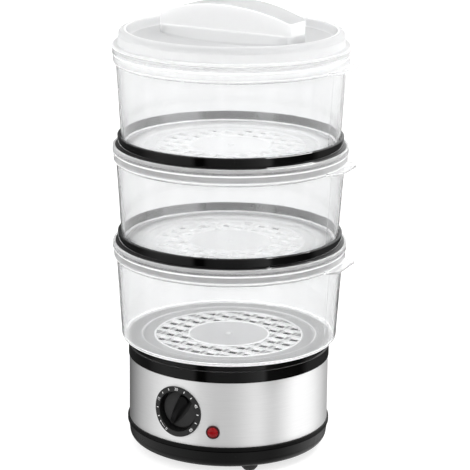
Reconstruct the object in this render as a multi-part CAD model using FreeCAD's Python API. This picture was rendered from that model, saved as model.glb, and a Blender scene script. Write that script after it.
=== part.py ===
import FreeCAD, Part
import math
import os
from FreeCAD import Vector

# Three-tier electric food steamer. Millimetres, +Z up, the dial faces -Y.
# The origin is the middle of the four feet, on the surface that they stand on.
# Heights run up the stack: feet, pan, steel band, tank, drip tray, then three
# clear baskets with a black ring between each two, and the lid.

# ---- fits and walls that several pieces share
GAP = 0.3             # between pieces that lift apart or slide past each other
SLIP = 0.1            # round a turning shaft
PRESS = 0.05          # round a pin, screw or bush that holds still
WALL = 1.8            # clear baskets and lid
MOULD_WALL = 2.2      # black housings

# ---- base
STEEL_RADIUS = 89.1   # outside of the steel band
STEEL_SHEET = 0.5
STEEL_HEIGHT = 58.8
FOOT_HEIGHT = 6.3
FOOT_RADIUS = 7.9
FOOT_CIRCLE = 73.5    # feet's distance from the centre
FOOT_STEM_RADIUS = 3.0
PAN_HEIGHT = 19.9
PAN_FLOOR = 2.6
PAN_LIP = 1.6         # how far the pan's top edge stands out past the steel
PAN_LIP_HEIGHT = 4.0
PAN_CORNER = 7.5      # height of the rounded bottom edge
SPIGOT_HEIGHT = 5.8   # ring inside the steel band that keeps it centred
SPIGOT_WALL = 1.8
SCREW_CIRCLE = 62.0   # base screws' distance from the centre
SCREW_ANGLE = 22.0    # base screws' angle off the X axis
SCREW_RADIUS = 1.6
SCREW_HEAD_RADIUS = 3.2
SCREW_HEAD_HEIGHT = 2.2
SCREW_POST_RADIUS = 4.2
SCREW_POST_TOP = 30.0

# ---- tank
TANK_FLANGE_HEIGHT = 10.8
TANK_FLANGE_LIP = 0.6     # how far the flange stands out past the steel
TANK_DEPTH = 43.8         # flange top to tank floor
TANK_MOUTH_INSET = 4.6    # tank's mouth inside the steel
TANK_TAPER = 4.6          # how far the tank's wall leans in to its floor
TANK_CORNER = 5.0
TANK_LEDGE = 9.0          # straight part of the mouth that takes the drip tray
PLATE_HOLE_RADIUS = 34.2
POCKET_GAP = 3.0          # round the timer, in the pocket moulded for it

# ---- heater
PLATE_RADIUS = 38.0
PLATE_SHEET = 0.8
PLATE_DISH = 5.4
GASKET_HEIGHT = 0.8
HEATER_RING_RADIUS = 27.0
HEATER_TUBE_RADIUS = 3.3
HEATER_SIDES = 8          # the tube is rolled flat against the plate
HEATER_LEG_OFFSET = 7.0
HEATER_LEG_END = 44.0
HEATER_PIN_RADIUS = 1.5
HEATER_PIN_LENGTH = 6.0
STRAP_WIDTH = 11.0
STRAP_SHEET = 1.5
STRAP_REACH = 47.0
STUD_RADIUS = 2.0
STUD_LENGTH = 11.4
NUT_ACROSS_FLATS = 7.0
NUT_HEIGHT = 2.2
THERMOSTAT_RADIUS = 7.5
THERMOSTAT_HEIGHT = 9.5
THERMOSTAT_OFFSET = 15.5
FUSE_RADIUS = 2.2
FUSE_LENGTH = 16.0
FUSE_OFFSET = 15.0
BLADE_WIDTH = 4.0         # push-on terminals
BLADE_SHEET = 0.8
BLADE_LENGTH = 6.0

# ---- timer and dial
DIAL_CENTRE_HEIGHT = 54.8
DIAL_RADIUS = 22.75
DIAL_SCALE_WIDTH = 4.6    # band round the well that carries the marks
DIAL_RIM = 1.1            # how far that band stands out past the steel
DIAL_WALL = 1.4           # side of the well, through the steel
DIAL_FLOOR = 1.0          # bottom of the well, against the timer's face
DIAL_BORE_RADIUS = 4.2
TIMER_WIDTH = 40.0
TIMER_DEPTH = 20.7
TIMER_HEIGHT = 44.0
TIMER_CORNER = 4.0
TIMER_SETBACK = 9.0       # timer's face behind the inside of the steel
TIMER_SCREW_SPACING = 24.0
TIMER_SCREW_RADIUS = 1.4
TIMER_SCREW_HEAD_RADIUS = 2.8
TIMER_SCREW_HEAD = 1.3
TIMER_SCREW_LENGTH = 12.0
BELL_RADIUS = 18.0
BELL_SHEET = 0.8
BELL_POST_RADIUS = 2.5
SHAFT_RADIUS = 3.0
SHAFT_FLAT = 2.0          # distance from the shaft's axis to its flat
SHAFT_DEPTH = 10.0        # how far the shaft reaches into the timer
KNOB_CLEARANCE = 1.6      # round the knob, inside the dial's well
KNOB_DISC = 2.6
KNOB_HEIGHT = 8.6         # back of the knob to the highest point of the grip
KNOB_WALL = 1.4
KNOB_EDGE = 0.8           # bevel round the disc
KNOB_HUB_RADIUS = 5.5
KNOB_STANDOFF = 0.5       # back of the knob above the well's floor
KNOB_SOCKET_TOP = 3.0     # solid part of the grip over the shaft's end
KNOB_REST_ANGLE = 30.0    # wide end, clockwise from the top; the tip is then at zero
# half widths of the grip, from its pointed end to its wide end
GRIP_FOOT = (1.7, 6.2, 7.2, 6.4)
GRIP_CREST = (0.9, 1.4, 2.2, 3.6)
GRIP_STATIONS = (-1.0, -0.25, 0.45, 0.86)     # where they are, as parts of the grip's half length
GRIP_ARC = 42.0           # radius of the grip's arched top
GRIP_PEAK = 4.0           # its highest point, from the axis towards the wide end

# ---- pilot lamp
LAMP_ANGLE = 21.6         # from the dial's axis, towards +X
LAMP_HEIGHT = 40.0
LAMP_FLANGE_RADIUS = 6.05
LAMP_STEM_RADIUS = 4.7
LAMP_DEPTH = 15.0
LAMP_FLANGE = 1.4
LAMP_LENS_RADIUS = 4.6
LAMP_LENS_CROWN = 1.7
LAMP_LENS_SEAT = 0.8

# ---- mains inlet and wiring
INLET_HEIGHT = 15.5
INLET_BOSS_RADIUS = 7.0
INLET_BOSS_DEPTH = 10.0
GROMMET_BORE = 3.6
GROMMET_NECK = 4.8
GROMMET_FLANGE = 6.4
GROMMET_LIP = 1.6
BLOCK_WIDTH = 26.0
BLOCK_DEPTH = 12.0
BLOCK_HEIGHT = 13.0
BLOCK_OFFSET = 60.0
BLOCK_PITCH = 8.0
WIRE_RADIUS = 1.2
LEAD_RADIUS = 0.8
WIRE_SIDES = 6            # sides of a wire's section
WIRE_LEVEL = 15.0         # wires run this high above the table

# ---- steam sleeve and drip tray
SLEEVE_RADIUS = 43.0
SLEEVE_TOP_RADIUS = 38.6
SLEEVE_TOP_GAP = 3.7      # under the drip tray
SLEEVE_SIDE_GAP = 1.7     # beside the timer's pocket
SLEEVE_NOTCH = 10.0
SLEEVE_NOTCH_HEIGHT = 4.5
SLEEVE_NOTCHES = 4
TRAY_RIM = 5.5
TRAY_DEPTH = 14.1
TRAY_WALL = 1.6
CHIMNEY_RADIUS = 20.0
CHIMNEY_DROP = 6.0        # chimney top below the tray's rim

# ---- baskets
BASKET_HEIGHT = 88.0
BASKET_OVERHANG = 3.4     # foot's edge past the drip tray's
BASKET_FLARE = 4.4        # how far the wall leans out, from corner to collar
BASKET_CORNER = 3.2
BASKET_FLOOR = 1.6
FLOOR_SINK = 1.4          # the middle of the floor below the foot
FLOOR_FOOT = 15.0         # width of the flat ring that the basket stands on
COLLAR_HEIGHT = 13.4
COLLAR_BAND = 6.0         # thicker band round the top of the collar
COLLAR_OUT = 3.2          # collar's outside past the wall's top
COLLAR_STEP = 0.8
TAB_ANGLE = 96.0          # lifting tab, from -Y towards +X
TAB_WIDTH = 50.0
TAB_REACH = 7.8
TAB_SHEET = 2.0
TAB_CORNER = 9.0
GRILLE_INNER = 35.0
GRILLE_OUTER = 65.0
GRILLE_PITCH = 14.5
GRILLE_HOLE = 9.4
GRILLE_MIN = 5.0          # holes narrower than this at the edge are left out
GRILLE_RIM = 1.4
GRILLE_RIM_HEIGHT = 0.8

# ---- carrier rings
BASKET_NEST = 1.5         # a basket's foot below the rim of the one under it
RING_STAND = 8.9          # ring's top above the rim that it stands in
RING_WALL = 1.6
RING_CREST = 2.5          # thickness of the upstand
RING_LEDGE = 8.0          # width of the ledge that carries the basket above
RING_GRIP = 0.5           # round the basket that stands in the ring
RING_LIP = 1.4

# ---- lid
LID_FLANGE = 1.7
LID_FLANGE_OUT = 0.6      # flange past the collar's outside
LID_SKIRT = 7.5
LID_SIDE = 14.4           # flange's underside to the top of the shoulder
LID_SHOULDER_RADIUS = 93.1
LID_SIDE_RADIUS = 98.3
LID_BEAD = 2.0
LID_RECESS = 7.3
HANDLE_LENGTH = 131.5
HANDLE_RISE = 31.0        # crest above the lid's disc
HANDLE_END_RISE = 17.6
HANDLE_WAIST_RISE = 8.0
HANDLE_END = 14.5         # half widths: at the ends, along the top and the foot
HANDLE_TOP = 20.5
HANDLE_WAIST = 15.5
HANDLE_FOOT = 37.0
HANDLE_CORNER = 5.0

# ---- heights that follow
PAN_BOTTOM = FOOT_HEIGHT
PAN_INSIDE = PAN_BOTTOM + PAN_FLOOR
STEEL_BOTTOM = PAN_BOTTOM + PAN_HEIGHT
STEEL_TOP = STEEL_BOTTOM + STEEL_HEIGHT
TANK_TOP = STEEL_TOP + TANK_FLANGE_HEIGHT
TANK_FLOOR_TOP = TANK_TOP - TANK_DEPTH
TANK_UNDERSIDE = TANK_FLOOR_TOP - MOULD_WALL
TRAY_TOP = TANK_TOP + TRAY_RIM
STACK_PITCH = BASKET_HEIGHT - BASKET_NEST
SLEEVE_HEIGHT = TANK_DEPTH - (TRAY_DEPTH - TRAY_RIM) - SLEEVE_TOP_GAP
PLATE_FLANGE = TANK_FLOOR_TOP + GASKET_HEIGHT
PLATE_UNDERSIDE = PLATE_FLANGE - PLATE_DISH
HEATER_LEVEL = PLATE_UNDERSIDE - HEATER_TUBE_RADIUS - PRESS
STRAP_LEVEL = HEATER_LEVEL - HEATER_TUBE_RADIUS - STRAP_SHEET - GAP
SHELF = BASKET_HEIGHT - COLLAR_HEIGHT + WALL

# ---- radii that follow
DIAL_WELL_RADIUS = DIAL_RADIUS - DIAL_SCALE_WIDTH
DIAL_CUP_RADIUS = DIAL_WELL_RADIUS + DIAL_WALL
KNOB_RADIUS = DIAL_WELL_RADIUS - KNOB_CLEARANCE
STEEL_INSIDE = STEEL_RADIUS - STEEL_SHEET
SPIGOT_RADIUS = STEEL_INSIDE - GAP
TANK_MOUTH_RADIUS = STEEL_INSIDE - TANK_MOUTH_INSET
TANK_FLOOR_RADIUS = TANK_MOUTH_RADIUS - TANK_TAPER
TRAY_RADIUS = STEEL_RADIUS - 0.1
BASKET_FOOT_RADIUS = TRAY_RADIUS + BASKET_OVERHANG
BASKET_LOW_RADIUS = BASKET_FOOT_RADIUS + BASKET_CORNER
BASKET_TOP_RADIUS = BASKET_LOW_RADIUS + BASKET_FLARE
COLLAR_RADIUS = BASKET_TOP_RADIUS + COLLAR_OUT
COLLAR_INSIDE = COLLAR_RADIUS - WALL
TIMER_FACE = STEEL_INSIDE - TIMER_SETBACK
TIMER_BACK = TIMER_FACE - TIMER_DEPTH
BELL_DEPTH = TIMER_BACK - POCKET_GAP - MOULD_WALL - SLEEVE_SIDE_GAP - SLEEVE_RADIUS


def outline(start, *steps):
    """Closed wire of (radius, height) points; a pair of points is an arc through the first."""
    edges = []
    here = Vector(start[0], 0, start[1])
    for step in steps + (start,):
        if isinstance(step[0], tuple):
            via = Vector(step[0][0], 0, step[0][1])
            end = Vector(step[1][0], 0, step[1][1])
            edges.append(Part.Arc(here, via, end).toShape())
        else:
            end = Vector(step[0], 0, step[1])
            edges.append(Part.makeLine(here, end))
        here = end
    return Part.Wire(edges)


def turned(start, *steps):
    """Solid of revolution about Z from an outline."""
    return Part.Face(outline(start, *steps)).revolve(Vector(0, 0, 0), Vector(0, 0, 1), 360)


def bent(centre_r, centre_z, radius, degrees):
    """Point on a circle in the outline's plane."""
    a = math.radians(degrees)
    return (centre_r + radius * math.cos(a), centre_z + radius * math.sin(a))


def rod(radius, low, high, x=0.0, y=0.0):
    """Upright cylinder between two heights."""
    return Part.makeCylinder(radius, high - low, Vector(x, y, low))


def block(x0, x1, y0, y1, z0, z1):
    return Part.makeBox(x1 - x0, y1 - y0, z1 - z0, Vector(x0, y0, z0))


def radial(shape, angle, height):
    """Turn a shape built along +Z to point out of the side, at an angle from -Y towards +X."""
    moved = shape.copy()
    moved.rotate(Vector(0, 0, 0), Vector(1, 0, 0), 90)
    moved.rotate(Vector(0, 0, 0), Vector(0, 0, 1), angle)
    moved.translate(Vector(0, 0, height))
    return moved


def raised(shape, height):
    moved = shape.copy()
    moved.translate(Vector(0, 0, height))
    return moved


def boat(half_length, end, middle, height, corner):
    """Closed wire shaped like a boat's deck: bowed sides, flat ends and rounded corners."""
    inset = corner * (1 - math.sqrt(0.5))

    def at(x, y):
        return Vector(x, y, height)

    edges = []
    for side in (1, -1):
        long_end = side * (half_length - corner)
        edges.append(Part.Arc(at(-long_end, side * end), at(0, side * middle), at(long_end, side * end)).toShape())
        corner_out = at(side * (half_length - inset), side * (end - inset))
        edges.append(Part.Arc(at(long_end, side * end), corner_out,
                              at(side * half_length, side * (end - corner))).toShape())
        edges.append(Part.makeLine(at(side * half_length, side * (end - corner)),
                                   at(side * half_length, -side * (end - corner))))
        corner_back = at(side * (half_length - inset), -side * (end - inset))
        edges.append(Part.Arc(at(side * half_length, -side * (end - corner)), corner_back,
                              at(long_end, -side * end)).toShape())
    return Part.Wire(edges)


def ngon(centre, along, radius, sides):
    """Regular polygon round a point, square to a direction."""
    across = along.cross(Vector(0, 0, 1) if abs(along.z) < 0.9 * along.Length else Vector(1, 0, 0)).normalize()
    up = across.cross(along).normalize()
    corners = []
    for i in range(sides + 1):
        a = math.radians(360 / sides * (i + 0.5))
        corners.append(centre + across * (radius * math.cos(a)) + up * (radius * math.sin(a)))
    return Part.makePolygon(corners)


def tube(points, radius):
    """Wire along straight runs that tangent arcs join; each arc is as large as its runs allow."""
    route = [Vector(*p) for p in points]
    edges = []
    here = route[0]
    for before, corner, after in zip(route, route[1:], route[2:]):
        run_in = (corner - before).normalize()
        run_out = (after - corner).normalize()
        half_turn = run_in.getAngle(run_out) / 2
        trim = 0.45 * min((corner - before).Length, (after - corner).Length)
        bend = trim / math.tan(half_turn)
        start = corner - run_in * trim
        end = corner + run_out * trim
        inward = (run_out - run_in).normalize()
        middle = corner + inward * (bend / math.cos(half_turn) - bend)
        edges.append(Part.makeLine(here, start))
        edges.append(Part.Arc(start, middle, end).toShape())
        here = end
    edges.append(Part.makeLine(here, route[-1]))
    section = ngon(route[0], route[1] - route[0], radius, WIRE_SIDES)
    return Part.Wire(edges).makePipeShell([section], True, False)


def hexagon(across_flats, low, high):
    corner = across_flats / math.sqrt(3)
    points = [Vector(corner * math.cos(math.radians(60 * i)), corner * math.sin(math.radians(60 * i)), low)
              for i in range(7)]
    return Part.Face(Part.makePolygon(points)).extrude(Vector(0, 0, high - low))


def foot_places():
    for i in range(4):
        a = math.radians(45 + 90 * i)
        yield FOOT_CIRCLE * math.cos(a), FOOT_CIRCLE * math.sin(a)


def screw_places():
    for angle in (SCREW_ANGLE, 180 - SCREW_ANGLE, 180 + SCREW_ANGLE, -SCREW_ANGLE):
        a = math.radians(angle)
        yield SCREW_CIRCLE * math.cos(a), SCREW_CIRCLE * math.sin(a)


# ---------------------------------------------------------------- base
def rubber_feet():
    """Four push-in feet: a domed pad under the pan, a stem through it and a barb inside."""
    pad = FOOT_RADIUS * 0.62
    stem = FOOT_STEM_RADIUS
    foot = turned(
        (0, 0), (pad, 0), (FOOT_RADIUS - 0.8, FOOT_HEIGHT * 0.4), (FOOT_RADIUS, PAN_BOTTOM),
        (stem, PAN_BOTTOM), (stem, PAN_INSIDE), (stem + 1.2, PAN_INSIDE), (stem - 0.6, PAN_INSIDE + 3),
        (0, PAN_INSIDE + 3))
    return Part.makeCompound([foot.translated(Vector(x, y, 0)) for x, y in foot_places()])


def screw_seat():
    return PAN_BOTTOM + PAN_FLOOR * 3


def base_pan():
    """Black tub with a rounded edge, a lip that the steel stands on, and screw bosses."""
    lip = STEEL_RADIUS + PAN_LIP
    side = lip - 0.8
    lip_bottom = STEEL_BOTTOM - PAN_LIP_HEIGHT
    corner_top = PAN_BOTTOM + PAN_CORNER
    flat = side - PAN_CORNER - 1.5
    inner = SPIGOT_RADIUS - SPIGOT_WALL
    spigot_top = STEEL_BOTTOM + SPIGOT_HEIGHT
    pan = turned(
        (0, PAN_BOTTOM), (flat, PAN_BOTTOM),
        (bent(side - 1.2 - PAN_CORNER, corner_top, PAN_CORNER, -42), (side - 1.2, corner_top)),
        (side, lip_bottom - 0.5), (side - 0.7, lip_bottom), (lip, lip_bottom + 0.5),
        (lip, STEEL_BOTTOM - 0.6), (lip - 0.6, STEEL_BOTTOM),
        (SPIGOT_RADIUS, STEEL_BOTTOM), (SPIGOT_RADIUS, spigot_top), (inner, spigot_top),
        (inner - 0.6, corner_top), (flat, PAN_INSIDE), (0, PAN_INSIDE))
    seat = screw_seat()
    for x, y in screw_places():
        pan = pan.fuse(rod(SCREW_POST_RADIUS, PAN_INSIDE - 1, SCREW_POST_TOP, x, y))
        pan = pan.fuse(rod(SCREW_HEAD_RADIUS + GAP + WALL, PAN_INSIDE - 1, seat + WALL, x, y))
    boss = radial(rod(INLET_BOSS_RADIUS, side - INLET_BOSS_DEPTH, side), 180, INLET_HEIGHT)
    pan = pan.fuse(boss)
    cuts = [rod(FOOT_STEM_RADIUS + PRESS, 0, PAN_INSIDE + 1, x, y) for x, y in foot_places()]
    for x, y in screw_places():
        cuts.append(rod(SCREW_HEAD_RADIUS + GAP, 0, seat, x, y))
        cuts.append(rod(SCREW_RADIUS + GAP, 0, SCREW_POST_TOP + 1, x, y))
    cuts.append(radial(rod(GROMMET_NECK + PRESS, side - 20, side + 20), 180, INLET_HEIGHT))
    return pan.cut(Part.makeCompound(cuts)).removeSplitter()


def base_screws():
    """Four screws that pull the tank down on the pan, with the steel band between them."""
    seat = screw_seat()
    screws = []
    for x, y in screw_places():
        shank = rod(SCREW_RADIUS, seat - 1, SCREW_POST_TOP + 9, x, y)
        screws.append(shank.fuse(rod(SCREW_HEAD_RADIUS, seat - SCREW_HEAD_HEIGHT, seat, x, y)))
    return Part.makeCompound(screws)


def steel_sleeve():
    """Rolled brushed-steel band with holes for the timer and the lamp."""
    band = turned((STEEL_INSIDE, STEEL_BOTTOM), (STEEL_RADIUS, STEEL_BOTTOM),
                  (STEEL_RADIUS, STEEL_TOP), (STEEL_INSIDE, STEEL_TOP))
    far = STEEL_RADIUS + 5
    near = STEEL_RADIUS - 5
    dial_hole = radial(rod(DIAL_CUP_RADIUS + GAP, near - STEEL_SHEET, far), 0, DIAL_CENTRE_HEIGHT)
    lamp_hole = radial(rod(LAMP_STEM_RADIUS + PRESS, near, far), LAMP_ANGLE, LAMP_HEIGHT)
    return band.cut(Part.makeCompound([dial_hole, lamp_hole]))


def tank_outline():
    """The tank's outside, as (radius, height) steps from the floor's edge up to its mouth."""
    wall = MOULD_WALL
    corner = TANK_CORNER + wall
    low = TANK_FLOOR_RADIUS + wall
    flange = STEEL_RADIUS + TANK_FLANGE_LIP
    spigot_bottom = STEEL_TOP - SPIGOT_HEIGHT
    return [
        (low - corner, TANK_UNDERSIDE), (low, TANK_UNDERSIDE + corner),
        (SPIGOT_RADIUS - 2.8, spigot_bottom), (SPIGOT_RADIUS, spigot_bottom), (SPIGOT_RADIUS, STEEL_TOP),
        (flange, STEEL_TOP), (flange, TANK_TOP - 1), (flange - 1, TANK_TOP), (TANK_MOUTH_RADIUS, TANK_TOP)]


def tank_housing():
    """Black tank: a flange on the steel band, a deep basin, and a pocket for the timer."""
    corner = TANK_CORNER
    floor = TANK_FLOOR_TOP
    basin = [
        (TANK_MOUTH_RADIUS, TANK_TOP - TANK_LEDGE), (TANK_FLOOR_RADIUS, floor + corner),
        (TANK_FLOOR_RADIUS - corner, floor)]
    tank = turned((PLATE_HOLE_RADIUS, TANK_UNDERSIDE), *tank_outline(), *basin, (PLATE_HOLE_RADIUS, floor))
    envelope = turned((0, TANK_UNDERSIDE), *tank_outline(), (0, TANK_TOP))
    half = TIMER_WIDTH / 2 + POCKET_GAP
    back = TIMER_BACK - BELL_DEPTH - POCKET_GAP
    roof = DIAL_CENTRE_HEIGHT + TIMER_HEIGHT / 2 + POCKET_GAP / 2
    wall = MOULD_WALL
    front = STEEL_RADIUS + 5
    pocket = block(-half - wall, half + wall, -front, -back + wall, TANK_UNDERSIDE, roof + wall)
    tank = tank.fuse(pocket.common(envelope))
    tank = tank.cut(block(-half, half, -front, -back, 0, roof))
    for x, y in screw_places():
        tank = tank.fuse(rod(SCREW_POST_RADIUS, SCREW_POST_TOP, TANK_UNDERSIDE + 0.5, x, y))
    holes = [rod(SCREW_RADIUS + PRESS, 0, SCREW_POST_TOP + 11, x, y) for x, y in screw_places()]
    return tank.cut(Part.makeCompound(holes)).removeSplitter()


# ---------------------------------------------------------------- heater
def evaporator_plate():
    """Dished stainless plate in the tank's floor, with a welded stud under its middle."""
    top = PLATE_FLANGE + PLATE_SHEET
    dish = PLATE_HOLE_RADIUS - 0.5
    low = PLATE_UNDERSIDE
    plate = turned(
        (0, low), (dish - 1.2, low), (dish, PLATE_FLANGE), (PLATE_RADIUS, PLATE_FLANGE), (PLATE_RADIUS, top),
        (dish - PLATE_SHEET, top), (dish - PLATE_SHEET - 1.2, low + PLATE_SHEET), (0, low + PLATE_SHEET))
    return plate.fuse(rod(STUD_RADIUS, low - STUD_LENGTH, low + 0.2)).removeSplitter()


def plate_gasket():
    return turned((PLATE_HOLE_RADIUS, TANK_FLOOR_TOP), (PLATE_RADIUS, TANK_FLOOR_TOP),
                  (PLATE_RADIUS, PLATE_FLANGE), (PLATE_HOLE_RADIUS, PLATE_FLANGE))


def heater_tube():
    """Horseshoe of sheathed element under the plate; its two legs run out to the back."""
    radius = HEATER_RING_RADIUS
    gap = math.asin(HEATER_LEG_OFFSET / radius)
    out = Vector(0, 1, 0)
    ring = Part.Face(ngon(Vector(radius, 0, HEATER_LEVEL), out, HEATER_TUBE_RADIUS, HEATER_SIDES))
    ring = ring.revolve(Vector(0, 0, 0), Vector(0, 0, 1), 360 - 2 * math.degrees(gap))
    ring.rotate(Vector(0, 0, 0), Vector(0, 0, 1), 90 + math.degrees(gap))
    start = radius * math.cos(gap) - HEATER_TUBE_RADIUS
    for side in (-1, 1):
        x = side * HEATER_LEG_OFFSET
        leg = Part.Face(ngon(Vector(x, start, HEATER_LEVEL), out, HEATER_TUBE_RADIUS, HEATER_SIDES))
        pin = Part.makeCylinder(HEATER_PIN_RADIUS, HEATER_PIN_LENGTH + 1,
                                Vector(x, HEATER_LEG_END - 1, HEATER_LEVEL), out)
        ring = ring.fuse([leg.extrude(out * (HEATER_LEG_END - start)), pin])
    return ring.removeSplitter()


def clamp_strap():
    """Bent strap that bears up on the tank's floor while the nut pulls the plate down."""
    level = STRAP_LEVEL
    drop = 4.4
    lean = 0.9
    foot = STRAP_REACH - 8
    foot_under = TANK_UNDERSIDE - STRAP_SHEET
    points = [
        (-STRAP_REACH, TANK_UNDERSIDE), (-foot, TANK_UNDERSIDE), (-foot + drop, level + STRAP_SHEET),
        (foot - drop, level + STRAP_SHEET), (foot, TANK_UNDERSIDE), (STRAP_REACH, TANK_UNDERSIDE),
        (STRAP_REACH, foot_under), (foot + lean, foot_under), (foot - drop + lean, level),
        (-foot + drop - lean, level), (-foot - lean, foot_under), (-STRAP_REACH, foot_under)]
    side = Part.Face(outline(*points))
    side.translate(Vector(0, -STRAP_WIDTH / 2, 0))
    return side.extrude(Vector(0, STRAP_WIDTH, 0)).cut(rod(STUD_RADIUS + GAP, 0, TANK_TOP))


def clamp_nut():
    nut = hexagon(NUT_ACROSS_FLATS, STRAP_LEVEL - NUT_HEIGHT, STRAP_LEVEL)
    return nut.cut(rod(STUD_RADIUS + PRESS, 0, TANK_TOP))


def thermostat():
    """Snap-disc thermostat against the plate, with two push-on blades below."""
    y = -THERMOSTAT_OFFSET
    low = PLATE_UNDERSIDE - THERMOSTAT_HEIGHT
    body = rod(THERMOSTAT_RADIUS, low, PLATE_UNDERSIDE, 0, y)
    for side in (-1, 1):
        x = side * BLADE_WIDTH
        body = body.fuse(block(x - BLADE_SHEET / 2, x + BLADE_SHEET / 2, y - BLADE_WIDTH / 2,
                               y + BLADE_WIDTH / 2, low - BLADE_LENGTH, low + 0.5))
    return body


def thermal_fuse():
    """Sleeved fuse under the plate, with a crimp on each lead."""
    z = PLATE_UNDERSIDE - FUSE_RADIUS - PRESS
    half = FUSE_LENGTH / 2
    along = Vector(1, 0, 0)
    reach = half + 4
    body = Part.makeCylinder(FUSE_RADIUS, FUSE_LENGTH, Vector(-half, FUSE_OFFSET, z), along)
    lead = Part.makeCylinder(LEAD_RADIUS, 2 * reach, Vector(-reach, FUSE_OFFSET, z), along)
    crimps = [rod(WIRE_RADIUS + 0.3, z - 4, z + 1.2, side * reach, FUSE_OFFSET) for side in (-1, 1)]
    return body.fuse([lead] + crimps)


# ---------------------------------------------------------------- timer, dial and knob
def timer_body():
    """Clockwork timer: a rounded case that the dial's well stands on, and a bell post."""
    half = TIMER_HEIGHT / 2
    case = Part.makeBox(TIMER_WIDTH, TIMER_HEIGHT, TIMER_DEPTH, Vector(-TIMER_WIDTH / 2, -half, TIMER_BACK))
    upright = [e for e in case.Edges if abs(e.Vertexes[0].Z - e.Vertexes[1].Z) > TIMER_DEPTH / 2]
    case = case.makeFillet(TIMER_CORNER, upright)
    reach = TIMER_SCREW_SPACING / 2
    for side in (-reach, reach):
        case = case.cut(rod(TIMER_SCREW_RADIUS + PRESS, TIMER_FACE - TIMER_SCREW_LENGTH, STEEL_RADIUS, side, 0))
    case = case.cut(rod(SHAFT_RADIUS + SLIP, TIMER_FACE - SHAFT_DEPTH - GAP, STEEL_RADIUS))
    case = case.fuse(rod(BELL_POST_RADIUS, TIMER_BACK - BELL_DEPTH + BELL_SHEET + 0.05, TIMER_BACK + 1))
    for side in (-1, 1):
        x = side * TIMER_WIDTH / 4
        middle = (TIMER_FACE + TIMER_BACK) / 2
        case = case.fuse(block(x - BLADE_WIDTH / 2, x + BLADE_WIDTH / 2, -half - BLADE_LENGTH, -half + 1,
                               middle - BLADE_SHEET / 2, middle + BLADE_SHEET / 2))
    return radial(case, 0, DIAL_CENTRE_HEIGHT)


def timer_bell():
    """Pressed steel bell on the back of the timer."""
    open_end = TIMER_BACK - 1.5
    crown = TIMER_BACK - BELL_DEPTH
    r = BELL_RADIUS
    t = BELL_SHEET
    bell = turned(
        (SCREW_RADIUS + PRESS, crown), (r * 0.55, crown), (r * 0.9, crown + BELL_DEPTH * 0.25), (r, open_end),
        (r - t, open_end), (r * 0.9 - t, crown + BELL_DEPTH * 0.25 + t), (r * 0.55, crown + t),
        (SCREW_RADIUS + PRESS, crown + t))
    return radial(bell, 0, DIAL_CENTRE_HEIGHT)


def bell_screw():
    crown = TIMER_BACK - BELL_DEPTH
    head = rod(SCREW_HEAD_RADIUS, crown - 1.6, crown)
    return radial(head.fuse(rod(SCREW_RADIUS, crown - 1, crown + BELL_SHEET)), 0, DIAL_CENTRE_HEIGHT)


def well_floor():
    """Radius of the bottom of the dial's well, which the timer screws' heads seat on."""
    return TIMER_FACE + DIAL_FLOOR


def timer_screws():
    seat = well_floor()
    screws = []
    for side in (-TIMER_SCREW_SPACING / 2, TIMER_SCREW_SPACING / 2):
        shank = rod(TIMER_SCREW_RADIUS, TIMER_FACE - TIMER_SCREW_LENGTH + 0.5, seat + 0.5, side, 0)
        head = rod(TIMER_SCREW_HEAD_RADIUS, seat, seat + TIMER_SCREW_HEAD, side, 0)
        screws.append(shank.fuse(head))
    return radial(Part.makeCompound(screws), 0, DIAL_CENTRE_HEIGHT)


def dial_plate():
    """Round plate let into the steel: a bent rim for the marks, and a well down to the timer."""
    tall = DIAL_RADIUS * 2
    middle = DIAL_CENTRE_HEIGHT
    far = STEEL_RADIUS + 9
    near = TIMER_FACE - 1
    front = rod(STEEL_RADIUS + DIAL_RIM, middle - tall, middle + tall)
    front = front.common(block(-tall, tall, -far, 0, middle - tall, middle + tall))
    outside = front.cut(rod(STEEL_RADIUS + PRESS, middle - tall, middle + tall))
    rim = radial(rod(DIAL_RADIUS, near, far).cut(rod(DIAL_WELL_RADIUS, near, far)), 0, middle).common(outside)
    cup = rod(DIAL_CUP_RADIUS, TIMER_FACE, far).cut(rod(DIAL_WELL_RADIUS, well_floor(), far))
    plate = rim.fuse(radial(cup, 0, middle).common(front))
    cuts = [rod(DIAL_BORE_RADIUS, near, far)]
    for side in (-TIMER_SCREW_SPACING / 2, TIMER_SCREW_SPACING / 2):
        cuts.append(rod(TIMER_SCREW_RADIUS + GAP, near, far, side, 0))
    return plate.cut(radial(Part.makeCompound(cuts), 0, middle))


def shaft_section(radius, flat, low, high):
    """Round bar with one flat, as the knob's socket and the shaft's end both have."""
    return rod(radius, low, high).common(block(-radius, radius, -radius, flat, low, high))


def knob_back():
    return well_floor() + KNOB_STANDOFF


def grip_outline(half_length, half_widths, height):
    """Closed wire round the grip: a straight tip, two waisted sides and a bowed wide end."""
    right = [Vector(half_length * station, half, height) for station, half in zip(GRIP_STATIONS, half_widths)]
    left = [Vector(point.x, -point.y, point.z) for point in right]
    sides = []
    for points in (right, left):
        curve = Part.BSplineCurve()
        curve.interpolate(points)
        sides.append(curve.toShape())
    end = Part.Arc(right[-1], Vector(half_length, 0, height), left[-1]).toShape()
    tip = Part.makeLine(left[0], right[0])
    return Part.Wire([sides[0], end, sides[1], tip])


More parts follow.
